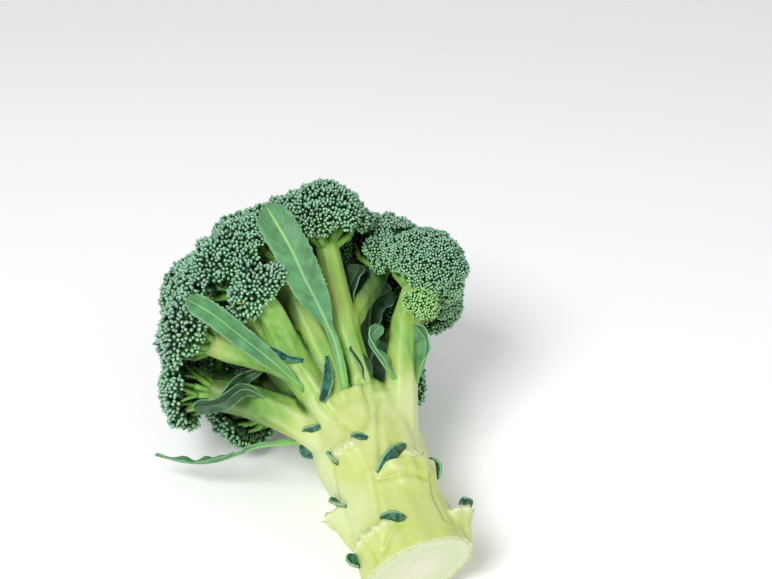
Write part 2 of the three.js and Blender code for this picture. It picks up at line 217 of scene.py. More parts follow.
def round_fit(points):
    """The middle and radius of the circle or ball that most of the points lie on."""
    pts = np.array(points)
    keep = np.ones(len(pts), bool)
    for share in (1, 0.9, 0.8, 0.7, 0.65, 0.6, 0.55, 0.5, 0.5, 0.5):
        kept = pts[keep]
        sides = np.hstack([2 * kept, np.ones((len(kept), 1))])
        answer = np.linalg.lstsq(sides, (kept**2).sum(1), rcond=None)[0]
        middle = answer[:-1]
        radius = math.sqrt(answer[-1] + middle @ middle)
        miss = np.abs(np.linalg.norm(pts - middle, axis=1) - radius)
        keep = miss <= np.quantile(miss, share)
    return Vector(middle), radius


def head_frame():
    """Turns across, along and up in mm from the middle of the cut end into the frame's metres."""
    bm = merged_copy("stalk")
    facing = {}
    for face in bm.faces:
        facing.setdefault(tuple(round(c, 2) for c in face.normal), []).append(face)
    cut = max(facing.values(), key=lambda faces: sum(f.calc_area() for f in faces))
    across = Vector((1, 0, 0))
    along = -cut[0].normal
    up = across.cross(along)
    rim = {v for f in cut for v in f.verts}
    flat, _ = round_fit([(v.co.dot(across), v.co.dot(up)) for v in rim])
    origin = across * flat[0] + up * flat[1] + along * cut[0].calc_center_median().dot(along)
    bm.free()
    turn = Matrix((across, along, up)).transposed().to_4x4()
    return Matrix.Translation(origin) @ turn @ Matrix.Scale(MM, 4)


HEAD = head_frame()
TURN = HEAD.to_3x3().normalized()


def place(across, along, up):
    return HEAD @ Vector((across, along, up))


def smooth_line(points, count):
    """Evenly timed places on a Catmull-Rom line through the points."""
    pts = [Vector(p) for p in points]
    pts = [2 * pts[0] - pts[1], *pts, 2 * pts[-1] - pts[-2]]
    line = []
    for i in range(count + 1):
        t = i / count * (len(pts) - 3)
        k = min(int(t), len(pts) - 4)
        t -= k
        a, b, c, d = pts[k : k + 4]
        line.append(0.5 * (2 * b + (c - a) * t + (2 * a - 5 * b + 4 * c - d) * t**2
                           + (3 * (b - c) + d - a) * t**3))
    return line


# Shapes that are used many times -----------------------------------------------------------------------------


def to_mesh(name, bm):
    mesh = bpy.data.meshes.new(name)
    bm.to_mesh(mesh)
    bm.free()
    return mesh


def shade_smooth(mesh):
    mesh.polygons.foreach_set("use_smooth", np.ones(len(mesh.polygons), bool))


def add_piece(name, mesh, material, slot, *nodes):
    """A finished piece of the head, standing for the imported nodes, with nothing below the surface it lies on."""
    co = coordinates(mesh)
    co[:, 2] = np.maximum(co[:, 2], 0.1 * MM)
    mesh.vertices.foreach_set("co", co.ravel())
    shade_smooth(mesh)
    mesh.materials.clear()
    mesh.materials.append(material)
    piece = bpy.data.objects.new(name, mesh)
    bpy.context.scene.collection.objects.link(piece)
    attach(piece, "root")
    if nodes:
        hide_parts(*nodes)
    return piece


def coordinates(mesh):
    co = np.empty(len(mesh.vertices) * 3)
    mesh.vertices.foreach_get("co", co)
    return co.reshape(-1, 3)


def set_numbers(mesh, name, values):
    layer = mesh.attributes.new(name, "FLOAT", "POINT")
    layer.data.foreach_set("value", np.asarray(values, dtype=np.float32))


def bud_shape(sides, rings):
    """A closed bud of half length 1 and half width 1, narrower towards its tip."""
    bm = bmesh.new()
    bmesh.ops.create_uvsphere(bm, u_segments=sides, v_segments=rings, radius=1)
    for v in bm.verts:
        narrow = 1 - 0.28 * max(0, v.co.z) ** 1.5
        v.co.x *= narrow
        v.co.y *= narrow
    return to_mesh("bud_shape", bm)


def rod_shape(sides, steps):
    """A closed round rod from z 0 to 1 with a ring of corners at each step."""
    bm = bmesh.new()
    bmesh.ops.create_cone(bm, cap_ends=True, segments=sides, radius1=1, radius2=1, depth=1)
    long_edges = [e for e in bm.edges if abs(e.verts[0].co.z - e.verts[1].co.z) > 0.5]
    if steps > 1:
        bmesh.ops.subdivide_edges(bm, edges=long_edges, cuts=steps - 1)
    for v in bm.verts:
        v.co.z += 0.5
    return to_mesh("rod_shape", bm)


def add_rod(bm, shape, line, radii):
    """Bends a rod along a line, with a radius at each of its places."""
    bent = shape.copy()
    co = coordinates(bent)
    steps = len(line) - 1
    rings = np.rint(co[:, 2] * steps).astype(int)
    spots = np.array(line)
    ahead = np.gradient(spots, axis=0)
    ahead /= np.linalg.norm(ahead, axis=1)[:, None]
    side = np.cross(ahead, Vector(ahead[0]).orthogonal())
    side /= np.linalg.norm(side, axis=1)[:, None]
    third = np.cross(ahead, side)
    wide = np.array(radii)[rings][:, None]
    new = spots[rings] + wide * (co[:, :1] * side[rings] + co[:, 1:2] * third[rings])
    bent.vertices.foreach_set("co", new.ravel())
    bm.from_mesh(bent)
    bpy.data.meshes.remove(bent)


def stamp(bm, shape, matrix):
    copy = shape.copy()
    copy.transform(matrix)
    bm.from_mesh(copy)
    bpy.data.meshes.remove(copy)


def spread_directions(count, rng):
    """Directions spread evenly over the whole ball, turned at random."""
    spin = Matrix.Rotation(rng.uniform(0, 6.28), 3, Vector([rng.gauss(0, 1) for _ in range(3)]).normalized())
    for i in range(count):
        z = 1 - (2 * i + 1) / count
        flat = math.sqrt(1 - z * z)
        turn = i * 2.39996
        yield spin @ Vector((flat * math.cos(turn), flat * math.sin(turn), z))


# Bud heads ---------------------------------------------------------------------------------------------------


class BudHead:
    """The ball that a bud head fills, in metres: its middle, radius and the way it faces."""

    def __init__(self, node):
        self.node = node
        self.name = node.removeprefix("bud_head_")
        bm = merged_copy(node)
        self.middle, self.radius = round_fit([v.co for v in bm.verts])
        bm.free()
        heart = place(0, HEART_HEIGHT, 0)
        if node == "bud_head_late_shoot":
            heart = self.middle - TURN @ Vector((0.4, -0.06, 0.91))
        self.facing = (self.middle - heart).normalized()
        self.foot = self.middle - 0.35 * self.radius * self.facing


def crown_gap(spot, blend=5 * MM):
    """How far a place lies outside the softly joined bud heads."""
    total = sum(math.exp(min(40, (h.radius - (spot - h.middle).length) / blend)) for h in CROWN)
    return -blend * math.log(total + 1e-9)


HEADS = [BudHead(node) for node in sorted(NODES) if node.startswith("bud_head")]
CROWN = [h for h in HEADS if h.name != "late_shoot"]


class Floret:
    """One small dome of buds on a bud head."""

    def __init__(self, head, way, radius, reach):
        self.head = head
        self.way = way
        self.radius = radius
        self.middle = head.middle + (reach - radius) * way
        self.rim = way.dot(head.facing)


def spread_florets(head, rng, spacing):
    count = int(4 * math.pi * head.radius**2 / (0.87 * spacing**2))
    florets = []
    lowest = OPEN_BELOW.get(head.name, -0.36)
    for way in spread_directions(count, rng):
        if way.dot(head.facing) < lowest + rng.uniform(-0.08, 0.08):
            continue
        radius = rng.uniform(0.5, 0.74) * spacing
        reach = head.radius
        if head in CROWN:
            for _ in range(4):
                reach -= crown_gap(head.middle + reach * way)
            reach = min(reach, head.radius + 6 * MM) + rng.uniform(-3.4, -0.8) * MM
        else:
            reach += rng.uniform(-0.5, 0.6) * MM
        floret = Floret(head, way, radius, reach)
        top = floret.middle + radius * way
        if any((top - place(*spot)).length < (size - 1.5) * MM for *spot, size in GAPS):
            continue
        if any((top - o.middle).length < o.radius - 1.2 * MM for o in CROWN if o is not head):
            continue
        if top.z < 0.4 * MM:
            floret.middle.z += min(2.5 * MM, 0.4 * MM - top.z)
        florets.append(floret)
    return florets


def spread_buds(florets, rng, width):
    """Buds on the outside of the florets: place, direction, half width, half length and floret."""
    tree = KDTree(len(florets))
    for i, floret in enumerate(florets):
        tree.insert(floret.middle, i)
    tree.balance()
    taken = {}
    gaps = [(place(*spot), size * MM) for *spot, size in GAPS]
    cell = 1.5 * width
    buds = []
    for k, floret in enumerate(florets):
        width = cell / 1.5 * BUD_WIDTHS.get(floret.head.name, 1.3)
        loose = 1.3 if floret.head.name in OPEN_BELOW else 1
        count = int(4 * math.pi * floret.radius**2 / (0.84 * width**2))
        near = [florets[i] for _, i, _ in tree.find_range(floret.middle, 16 * MM) if i != k]
        reach = math.cos(math.radians(104 if floret.rim < 0.35 else 80))
        for way in spread_directions(count, rng):
            if way.dot(floret.way) < reach:
                continue
            spot = floret.middle + floret.radius * way
            if any((spot - o.middle).length < 0.93 * o.radius for o in near):
                continue
            if any((spot - o.middle).length < o.radius - 3 * MM for o in CROWN if o is not floret.head):
                continue
            shift = Vector([rng.gauss(0, 0.09 * width) for _ in range(3)])
            spot = spot + shift + rng.uniform(-0.5, 0.2) * width * way
            spot.z = max(spot.z, 0.9 * MM)
            key = tuple(int(c // cell) for c in spot)
            apart = (0.52 + 0.25 * loose) * width
            cells = [tuple(a + b for a, b in zip(key, step)) for step in product((-1, 0, 1), repeat=3)]
            if any((spot - o).length < apart for c in cells for o in taken.get(c, ())):
                continue
            taken.setdefault(key, []).append(spot)
            lean = Vector([rng.gauss(0, 0.2) for _ in range(3)])
            out = (0.8 * way + 0.35 * floret.way + lean).normalized()
            half = 0.5 * width * rng.uniform(0.84, 1.12)
            if any((spot - gap).length < size for gap, size in gaps):
                continue
            buds.append((spot, out, half, half * loose * rng.uniform(1.15, 1.6), floret))
    return buds


def build_bud_head(head, florets, buds, rng, bud, shade_filler, material, slot):
    """The buds of one head, over a filling under each floret that is dark with painted shade."""
    bm = bmesh.new()
    sizes, tints, tips, young = [], [], [], []
    bud_tips = 0.5 + 0.5 * coordinates(bud)[:, 2]
    filler_count = len(shade_filler.vertices)
    for floret in florets:
        heart = floret.middle - 0.12 * floret.radius * floret.way
        turn = floret.way.to_track_quat("Z", "Y").to_matrix().to_4x4()
        rim = OPEN_BELOW.get(head.name, -0.36) + 0.35
        size = (0.76 if floret.rim > rim else 0.5) * floret.radius
        # The filling is painted shade: with no tint and no tip it takes the near-black gap colour.
        stamp(bm, shade_filler, Matrix.Translation(heart) @ turn @ Matrix.Scale(size, 4))
        sizes.append(filler_count)
        tints.append(0.0)
        young.append(0.0)
        tips.append(np.zeros(filler_count))
    for spot, out, half, long, floret in buds:
        turn = out.to_track_quat("Z", "Y").to_matrix().to_4x4()
        spin = Matrix.Rotation(rng.uniform(0, 6.28), 4, "Z")
        stamp(bm, bud, Matrix.Translation(spot) @ turn @ spin @ Matrix.Diagonal((half, half, long, 1)))
        sizes.append(len(bud_tips))
        patch = 0.5 + 0.5 * noise.noise(spot / (14 * MM))
        tints.append(0.1 + 0.9 * min(1, max(0, 0.5 * patch + 0.5 * rng.random())))
        tips.append(bud_tips)
        side = out.dot(floret.head.facing)
        young.append(min(1, max(0, 0.45 - side)) * rng.uniform(0.3, 1))
    mesh = to_mesh("buds_" + head.name, bm)
    set_numbers(mesh, "tint", np.repeat(tints, sizes))
    set_numbers(mesh, "tip", np.concatenate(tips))
    set_numbers(mesh, "young", np.repeat(young, sizes))
    return add_piece("buds_" + head.name, mesh, material, slot, head.node)


def build_stalklets(head, florets, buds, rng, material):
    """The fine branches under a bud head: main ones, one to each floret, and bud stalks at the rim."""
    bm = bmesh.new()
    thick, medium, fine = rod_shape(7, 5), rod_shape(5, 3), rod_shape(4, 1)
    small = head.radius / (21 * MM)
    root = head.foot - 9 * MM * small * head.facing
    groups = {}
    guides = [g for g in spread_directions(int(30 * small), rng) if g.dot(head.facing) > -0.3]
    for floret in florets:
        guide = max(range(len(guides)), key=lambda i: guides[i].dot(floret.way))
        groups.setdefault(guide, []).append(floret)
    for group in groups.values():
        goal = sum((f.middle for f in group), Vector()) / len(group)
        fork = root + 0.64 * (goal - root)
        bend = root + 0.42 * (fork - root).length * head.facing
        line = smooth_line([root, 0.5 * (bend + 0.5 * (root + fork)), fork], 5)
        wide = rng.uniform(1.7, 2.3) * MM * small**0.5
        add_rod(bm, thick, line, [wide * w for w in (1.35, 1.1, 0.95, 0.85, 0.8, 0.8)])
        for floret in group:
            end = floret.middle - 0.3 * floret.radius * floret.way
            middle = 0.5 * (fork + end) + 0.12 * (end - fork).length * head.facing
            add_rod(bm, medium, smooth_line([fork, middle, end], 3), [wide * w for w in (0.6, 0.48, 0.4, 0.36)])
    for spot, out, half, long, floret in buds:
        if floret.rim > OPEN_BELOW.get(head.name, -0.36) + 0.4 and rng.random() < 0.85:
            continue
        base = spot - 0.75 * long * out
        root = floret.middle - 0.45 * floret.radius * floret.way
        add_rod(bm, fine, [root, base], [0.42 * half, 0.34 * half])
    mesh = to_mesh("stalklets_" + head.name, bm)
    co = coordinates(mesh)
    far = np.linalg.norm(co - np.array(head.foot), axis=1) / head.radius
    set_numbers(mesh, "green", np.clip(0.35 + 0.65 * far, 0, 1))
    return add_piece("stalklets_" + head.name, mesh, material, "branch")


# Stalk and branches ------------------------------------------------------------------------------------------


def around(turn, height, out):
    """A place at an angle round the stalk, a height up it and a distance from its middle line."""
    a = math.radians(turn)
    return place(out * math.cos(a), height, out * math.sin(a))


def on_skin(skin, turn, height):
    """The place on a surface at an angle round the stalk and a height up it, and the way out there."""
    outside, axis = around(turn, height, 70), place(0, height, 0)
    outward = (outside - axis).normalized()
    spot = skin.ray_cast(outside, -outward)[0]
    return spot or around(turn, height, WAIST_RADIUS), outward


def stem_solids(rng):
    """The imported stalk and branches, grown so that they meet, with fillings that round off the fork."""
    bm = bmesh.new()
    for node in sorted(NODES):
        if node != "stalk" and node != "leader" and not node.startswith("branch"):
            continue
        part = merged_copy(node)
        for v in part.verts:
            v.co += 0.4 * MM * v.normal
        mesh = to_mesh(node, part)
        bm.from_mesh(mesh)
        bpy.data.meshes.remove(mesh)
    fork = HEAD @ Matrix.Translation((0, 74, 0)) @ Matrix.Diagonal((21, 25, 21, 1))
    bmesh.ops.create_uvsphere(bm, u_segments=24, v_segments=16, radius=1, matrix=fork)
    for turn, height, out, wide, long, thick in CUSHIONS:
        a = math.radians(turn)
        middle = Matrix.Translation((out * math.cos(a), height, out * math.sin(a)))
        swelling = HEAD @ middle @ Matrix.Rotation(-a, 4, "Y") @ Matrix.Diagonal((thick, long, wide, 1))
        bmesh.ops.create_uvsphere(bm, u_segments=24, v_segments=16, radius=1, matrix=swelling)
    skin = BVHTree.FromBMesh(bm)
    for first, last, height in TORN_EDGES:
        for i in range(13):
            turn = first + (last - first) * (i + rng.uniform(-0.4, 0.4)) / 12
            spot, outward = on_skin(skin, turn, height + rng.uniform(-1.6, 0.8))
            size = Matrix.Diagonal((rng.uniform(1.2, 2.6), rng.uniform(1.4, 3), rng.uniform(1.2, 2.6), 1))
            lump = Matrix.Translation(spot - 0.2 * MM * outward) @ HEAD.to_3x3().to_4x4() @ size
            bmesh.ops.create_icosphere(bm, subdivisions=2, radius=1, matrix=lump)
    return to_mesh("stem", bm)


def applied(mesh, *modifiers):
    """The mesh with modifiers applied: each is a type and its settings."""
    thing = bpy.data.objects.new("shaping", mesh)
    bpy.context.scene.collection.objects.link(thing)
    for kind, settings in modifiers:
        modifier = thing.modifiers.new(kind, kind)
        for key, value in settings.items():
            setattr(modifier, key, value)
    shaped = bpy.data.meshes.new_from_object(thing.evaluated_get(bpy.context.evaluated_depsgraph_get()))
    bpy.data.objects.remove(thing)
    bpy.data.meshes.remove(mesh)
    return shaped


def neighbour_mean(mesh, values):
    """The mean of each corner's neighbours."""
    edges = np.empty(len(mesh.edges) * 2, int)
    mesh.edges.foreach_get("vertices", edges)
    a, b = edges.reshape(-1, 2).T
    a, b = np.concatenate([a, b]), np.concatenate([b, a])
    size = len(values)
    count = np.maximum(np.bincount(a, minlength=size), 1)
    columns = values.reshape(size, -1).T
    mean = np.stack([np.bincount(a, column[b], minlength=size) / count for column in columns], 1)
    return mean.reshape(values.shape)


def hollowness(mesh, rounds):
    """How far each corner lies below its surroundings, in mm: above 0 in a crease."""
    co = coordinates(mesh)
    normals = np.empty(len(mesh.vertices) * 3)
    mesh.vertices.foreach_get("normal", normals)
    mean = co
    for _ in range(rounds):
        mean = neighbour_mean(mesh, mean)
    return ((mean - co) * normals.reshape(-1, 3)).sum(1) / MM


def crease_distance(around_skin, line, turns):
    """Each place's distance in mm, along the skin, from a line of turns and heights."""
    scale = np.array([math.radians(1) * 24, 1])
    best = np.full(len(turns), 99.0)
    for a, b in zip(line, line[1:]):
        a, b = np.array(a) * scale, np.array(b) * scale
        spots = around_skin * scale
        whole = 360 * scale[0]
        spots[:, 0] = a[0] + (spots[:, 0] - a[0] + 0.5 * whole) % whole - 0.5 * whole
        t = np.clip((spots - a) @ (b - a) / ((b - a) @ (b - a)), 0, 1)
        best = np.minimum(best, np.linalg.norm(spots - a - t[:, None] * (b - a), axis=1))
    return best


def shade_of_places(spots):
    """How far into the painted shade each place lies, by the branch that it is nearest to."""
    nodes = [n for n in NODES if n in ("stalk", "leader") or n.startswith("branch")]
    points = [(v.co.copy(), SHADED.get(n, 0)) for n in nodes for e in NODES[n].data.edges
              for v in (NODES[n].data.vertices[i] for i in e.vertices)]
    tree = KDTree(len(points))
    for i, (spot, _) in enumerate(points):
        tree.insert(spot, i)
    tree.balance()
    return np.array([sum(points[i][1] for _, i, _ in tree.find_n(spot, 5)) / 5 for spot in spots])


def cut_flat(mesh, spot, normal):
    """Cuts away what lies beyond a plane, closes the cut and gives its outline."""
    bm = bmesh.new()
    bm.from_mesh(mesh)
    geometry = bm.verts[:] + bm.edges[:] + bm.faces[:]
    cut = bmesh.ops.bisect_plane(bm, geom=geometry, plane_co=spot, plane_no=normal, clear_outer=True)
    rim = [e for e in cut["geom_cut"] if isinstance(e, bmesh.types.BMEdge)]
    ends = bmesh.ops.holes_fill(bm, edges=rim, sides=0)["faces"]
    ring = [v.co.copy() for face in ends for v in face.verts]
    for edge in rim:
        edge.smooth = False
    bm.to_mesh(mesh)
    bm.free()
    return ring


def build_stem(material, ribs):
    """Stalk, fork and branches as one grown piece, ribbed along, cut flat at its end and at the surface."""
    rng = random.Random(3)
    mesh = applied(
        stem_solids(rng),
        ("REMESH", {"mode": "VOXEL", "voxel_size": 0.975 * MM, "adaptivity": 0}),
        ("SMOOTH", {"factor": 0.5, "iterations": 7}),
    )
    co = coordinates(mesh)
    normals = np.empty(len(co) * 3)
    mesh.vertices.foreach_get("normal", normals)
    normals = normals.reshape(-1, 3)
    inverse = np.array(HEAD.inverted())
    local = co @ inverse[:3, :3].T + inverse[:3, 3]
    turns = np.degrees(np.arctan2(local[:, 2], local[:, 0]))
    around_skin = np.column_stack([turns, local[:, 1]])
    lift = np.zeros(len(co))
    for i, (across, along, up) in enumerate(local):
        rib = noise.noise(Vector((across / 5, along / 60, up / 5)))
        lump = noise.noise(Vector((across / 14, along / 22, up / 14)))
        way = Vector((across, along - 45, up)).normalized() * 14
        flute = noise.noise(way)
        share = min(1, max(0, (along - 70) / 20))
        lift[i] += (1 - share) * 0.45 * rib + share * 0.9 * flute + 0.5 * lump
    furrow = np.full(len(co), 99.0)
    for line in CREASES:
        furrow = np.minimum(furrow, crease_distance(around_skin, line, turns))
    inside = np.hypot(local[:, 0], local[:, 2]) < 34
    lift += inside * (0.35 * np.exp(-(((furrow - 3) / 2) ** 2)) - 0.85 * np.exp(-((furrow / 1.1) ** 2)))
    co += normals * (lift * ribs * MM)[:, None]
    mesh.vertices.foreach_set("co", co.ravel())
    ring = cut_flat(mesh, place(0, 0.6, 0), -(TURN @ Vector((0, 1, 0))))
    cut_flat(mesh, Vector((0, 0, 0.0002)), Vector((0, 0, -1)))
    co = coordinates(mesh)
    local = co @ inverse[:3, :3].T + inverse[:3, 3]
    out = np.hypot(local[:, 0], local[:, 2])
    green = np.clip((local[:, 1] - 68) / 34, 0, 1) * 0.85 + np.clip((out - 30) / 30, 0, 1) * 0.25
    set_numbers(mesh, "green", np.clip(green, 0, 1))
    set_numbers(mesh, "crease", hollowness(mesh, 12))
    # Painted shade in the broad valleys between the branches.
    set_numbers(mesh, "valley_shade", hollowness(mesh, 110) * np.clip((local[:, 1] - 76) / 10, 0, 1))
    set_numbers(mesh, "cut", local[:, 1] < 0.7)
    # Painted shade: a deep green on the lower sides of the branches above the fork, round the shaded branches and
    # at the deep places.
    low = np.clip((local[:, 1] - 84) / 12, 0, 1) * np.clip((16 - local[:, 2]) / 16, 0, 1)
    deep_green_and_shade = np.maximum(low * 0.8, shade_of_places(co) * np.clip((local[:, 1] - 78) / 14, 0, 1))
    for *spot, reach in SHADE_SPOTS:
        near = np.exp(-(((local - np.array(spot)) ** 2).sum(1) / reach**2))
        deep_green_and_shade = np.maximum(deep_green_and_shade, np.minimum(1, 1.5 * near))
    for _ in range(4):
        deep_green_and_shade = neighbour_mean(mesh, deep_green_and_shade)
    set_numbers(mesh, "deep_green_and_shade", deep_green_and_shade)
    turns = np.degrees(np.arctan2(local[:, 2], local[:, 0]))
    skin_places = np.column_stack([turns, local[:, 1]])
    torn = np.zeros(len(co))
    for first, last, height in TORN_EDGES:
        away = crease_distance(skin_places, [(first, height - 0.5), (last, height - 0.5)], turns)
        torn = np.maximum(torn, np.exp(-((away / 2.2) ** 2)))
    torn *= np.hypot(local[:, 0], local[:, 2]) < 36
    set_numbers(mesh, "torn", torn)
    bm = bmesh.new()
    bm.from_mesh(mesh)
    skin = BVHTree.FromBMesh(bm)
    grown = len(bm.verts)
    fibre = rod_shape(5, 2)
    for first, last, height in TORN_EDGES:
        for i in range(18):
            turn = first + (last - first) * (i + rng.uniform(-0.5, 0.5)) / 17
            spot, outward = on_skin(skin, turn, height + rng.uniform(-3, 1.5))
            long = rng.uniform(1, 2.6) * MM
            way = (TURN.col[1] * rng.uniform(0.3, 1) + outward * rng.uniform(-0.1, 0.3)
                   + TURN.col[0] * rng.gauss(0, 0.5)).normalized()
            wide = rng.uniform(0.2, 0.42) * MM
            start = spot - 0.15 * MM * outward
            line = [start, start + 0.5 * long * way, start + long * way]
            add_rod(bm, fibre, line, [0.6 * wide, wide, 0.15 * wide])
    centre = place(0, 0.5, 0)
    for i in range(0, len(ring), 2):
        inward = rng.uniform(0.3, 1.6) * MM
        line = [ring[(i + step) % len(ring)] for step in (0, 2, 4)]
        line = [spot + (centre - spot).normalized() * (inward + rng.uniform(0, 0.3) * MM) for spot in line]
        wide = rng.uniform(0.18, 0.42) * MM
        add_rod(bm, fibre, line, [0.2 * wide, wide, 0.2 * wide])
    bm.to_mesh(mesh)
    bm.free()
    mesh.update()
    torn = np.concatenate([torn, np.full(len(mesh.vertices) - grown, 0.8)])
    mesh.attributes["torn"].data.foreach_set("value", torn.astype(np.float32))
    stems = [n for n in NODES if n in ("stalk", "leader") or n.startswith("branch")]
    piece = add_piece("stalk_and_branches", mesh, material, "stalk", *stems)
    for polygon in mesh.polygons:
        if len(polygon.vertices) > 40:
            polygon.use_smooth = False
    return piece


# Leaves ------------------------------------------------------------------------------------------------------


def build_strip(name, line, face, widths, fold, ruffle, teeth, thickness, rows, columns=12):
    """A leaf or flap: a strip along a line, toothed and ruffled at its margins, as thick as a leaf."""
    bm = bmesh.new()
    bm.loops.layers.uv.new("leaf")
    bmesh.ops.create_grid(bm, x_segments=columns, y_segments=rows, size=1, calc_uvs=True)
    spots = smooth_line(line, rows)
    ahead = np.gradient(np.array(spots), axis=0)
    length = sum((b - a).length for a, b in zip(spots, spots[1:]))
    for v in bm.verts:
        across, t = v.co.x, 0.5 * (v.co.y + 1)
        row = round(t * rows)
        tangent = Vector(ahead[row]).normalized()
        side = tangent.cross(face).normalized()
        normal = side.cross(tangent).normalized()
        width = 0.5 * widths(t)
        edge = abs(across)
        tooth = 1 + teeth * edge**3 * (0.5 + noise.noise(Vector((t * length / 1.3, 3 * np.sign(across), 0))))
        wave = ruffle * edge**2 * noise.noise(Vector((t * length / 7, 5 * np.sign(across), 1.7)))
        sunk = -0.35 * math.exp(-((edge * width / 0.7) ** 2)) * min(1, width / 3)
        lift = fold * edge**1.3 * 2 * width + wave + sunk
        v.co = HEAD @ (spots[row] + across * width * tooth * side + lift * normal)
    bmesh.ops.recalc_face_normals(bm, faces=bm.faces)
    mesh = to_mesh(name, bm)
    mesh = applied(mesh, ("SOLIDIFY", {"thickness": thickness * MM, "offset": 0, "use_quality_normals": True}))
    return mesh


def leaf_widths(wide, blade):
    """The width along a leaf: a narrow stalk, then a blade that is widest past its middle."""

    def widths(t):
        stem = 0.16 * wide + 1.2
        along = (t - (1 - blade)) / blade
        if along <= 0:
            return stem
        round_off = math.sqrt(max(0, 1 - max(0, (along - 0.84) / 0.16) ** 2))
        swell = 1 - (1 - min(1, along / 0.8)) ** 4
        return (stem + (wide - stem) * swell) * max(0.06, round_off)

    return widths


def build_leaf(node, material, thickness):
    line, face, wide, blade, fold = LEAVES[node]
    face = Vector(face).normalized()
    widths = leaf_widths(wide, blade)
    length = sum((Vector(b) - Vector(a)).length for a, b in zip(line, line[1:]))
    mesh = build_strip(node, line, face, widths, fold, 2.2, 0.18, thickness, int(length * 1.1))
    bm = bmesh.new()
    bm.from_mesh(mesh)
    bpy.data.meshes.remove(mesh)
    spots = smooth_line(line, 24)
    ahead = np.gradient(np.array(spots), axis=0)
    rib = []
    for spot, way in zip(spots, ahead):
        tangent = Vector(way).normalized()
        normal = tangent.cross(face).cross(tangent).normalized()
        rib.append(HEAD @ (spot - 0.5 * normal))
    thick = (0.1 * wide + 0.5) * MM
    add_rod(bm, rod_shape(8, 24), rib, [thick * (1 - 0.85 * (i / 24) ** 0.7) for i in range(25)])
    mesh = to_mesh(node, bm)
    far = np.linalg.norm(coordinates(mesh) - np.array(HEAD @ Vector(line[0])), axis=1) / (length * MM)
    set_numbers(mesh, "base", np.clip(1 - far / 0.42, 0, 1))
    return add_piece(node.replace("leaf", "green_leaf"), mesh, material, "leaf", node)


def build_scales(material):
    """The small dark scale leaves, which have no solids of their own."""
    bm = bmesh.new()
    for line, face, wide in SCALES:
        length = sum((Vector(b) - Vector(a)).length for a, b in zip(line, line[1:]))

        def widths(t):
            return wide * (0.25 + 0.75 * math.sin(math.pi * min(1, 0.12 + 0.86 * t)))

        mesh = build_strip("scale", line, Vector(face), widths, 0.3, 1.2, 0.25, 0.5, int(length), 8)
        bm.from_mesh(mesh)
        bpy.data.meshes.remove(mesh)
    return add_piece("scale_leaves", to_mesh("scale_leaves", bm), material, "leaf")


def build_stub(index, skin, material):
    """What is left of one cut leaf, standing on the stalk's skin."""
    turn, height, long, wide, lean = STUBS[index]
    a = math.radians(turn)
    outward = Vector((math.cos(a), 0, math.sin(a)))
    around_it = Vector((-outward.z, 0, outward.x))
    lean = math.radians(lean)
    way = Vector((0, math.cos(lean), 0)) + math.sin(lean) * around_it
    slope = way.cross(outward)
    slope = slope if slope.y > 0 else -slope
    side = (0.85 * outward + 0.5 * slope).normalized()
    foot = HEAD.inverted() @ on_skin(skin, turn, height)[0]
    wide = 1.35 * wide
    middle = foot + 0.25 * wide * side
    sag = -0.12 * long * outward
    line = [middle - 0.5 * long * way + 1.6 * sag, middle, middle + 0.5 * long * way + 1.6 * sag]
    face = side.cross(way)

    def widths(t):
        return wide * (0.12 + 0.88 * math.sin(math.pi * (0.04 + 0.8 * t)) ** 0.7)

    node = f"leaf_stub_{index + 1}"
    mesh = build_strip(node, line, face, widths, 0, 0.8, 0.25, 1.3, 20, 8)
    return add_piece(f"stub_{index + 1}", mesh, material, "leaf_stub", node)


# Materials ---------------------------------------------------------------------------------------------------


def new_material(name, roughness, specular=0.5, **sockets):
    material = bpy.data.materials.new(name)
    material.use_nodes = True
    shader = material.node_tree.nodes["Principled BSDF"]
    shader.inputs["Roughness"].default_value = roughness
    shader.inputs["Specular IOR Level"].default_value = specular
    for key, value in sockets.items():
        shader.inputs[key.replace("_", " ")].default_value = value
    return material, material.node_tree, shader


def add_node(tree, kind, inputs=None, **settings):
    made = tree.nodes.new("ShaderNode" + kind)
    for key, value in settings.items():
        setattr(made, key, value)
    for key, value in (inputs or {}).items():
        socket = made.inputs[key]
        if isinstance(value, bpy.types.NodeSocket):
            tree.links.new(value, socket)
        else:
            socket.default_value = value
    return made


def mix_colours(tree, share, low, high):
    made = add_node(tree, "Mix", data_type="RGBA")
    for socket, value in ((made.inputs[0], share), (made.inputs[6], low), (made.inputs[7], high)):
        if isinstance(value, bpy.types.NodeSocket):
            tree.links.new(value, socket)
        else:
            socket.default_value = value if isinstance(value, float) else (*value[:3], 1)
    return made.outputs[2]


def number(tree, name):
    return add_node(tree, "Attribute", attribute_name=name).outputs["Fac"]


def span(tree, value, low, high, to_low=0.0, to_high=1.0):
    """A value stretched from one range to another, and held inside it."""
    made = add_node(tree, "MapRange", {0: value, 1: low, 2: high, 3: to_low, 4: to_high}, clamp=True)
    return made.outputs[0]


def maths(tree, operation, a, b):
    return add_node(tree, "Math", {0: a, 1: b}, operation=operation).outputs[0]


def head_noise(tree, scale, detail=3.0, stretch=1.0):
    """Noise in the head's own frame, drawn out along the stalk by stretch."""
    spots = add_node(tree, "TexCoord").outputs["Object"]
    tilt = math.asin(TURN.col[1].z)
    turned = add_node(tree, "Mapping", {"Vector": spots, "Rotation": (-tilt, 0, 0)})
    drawn = add_node(tree, "Mapping", {"Vector": turned.outputs[0], "Scale": (1, 1 / stretch, 1)})
    made = add_node(tree, "TexNoise", {"Vector": drawn.outputs[0], "Scale": scale, "Detail": detail})
    return made.outputs["Fac"]


def add_bump(tree, shader, height, distance, strength=1.0):
    bump = add_node(tree, "Bump", {"Height": height, "Distance": distance, "Strength": strength})
    tree.links.new(bump.outputs[0], shader.inputs["Normal"])


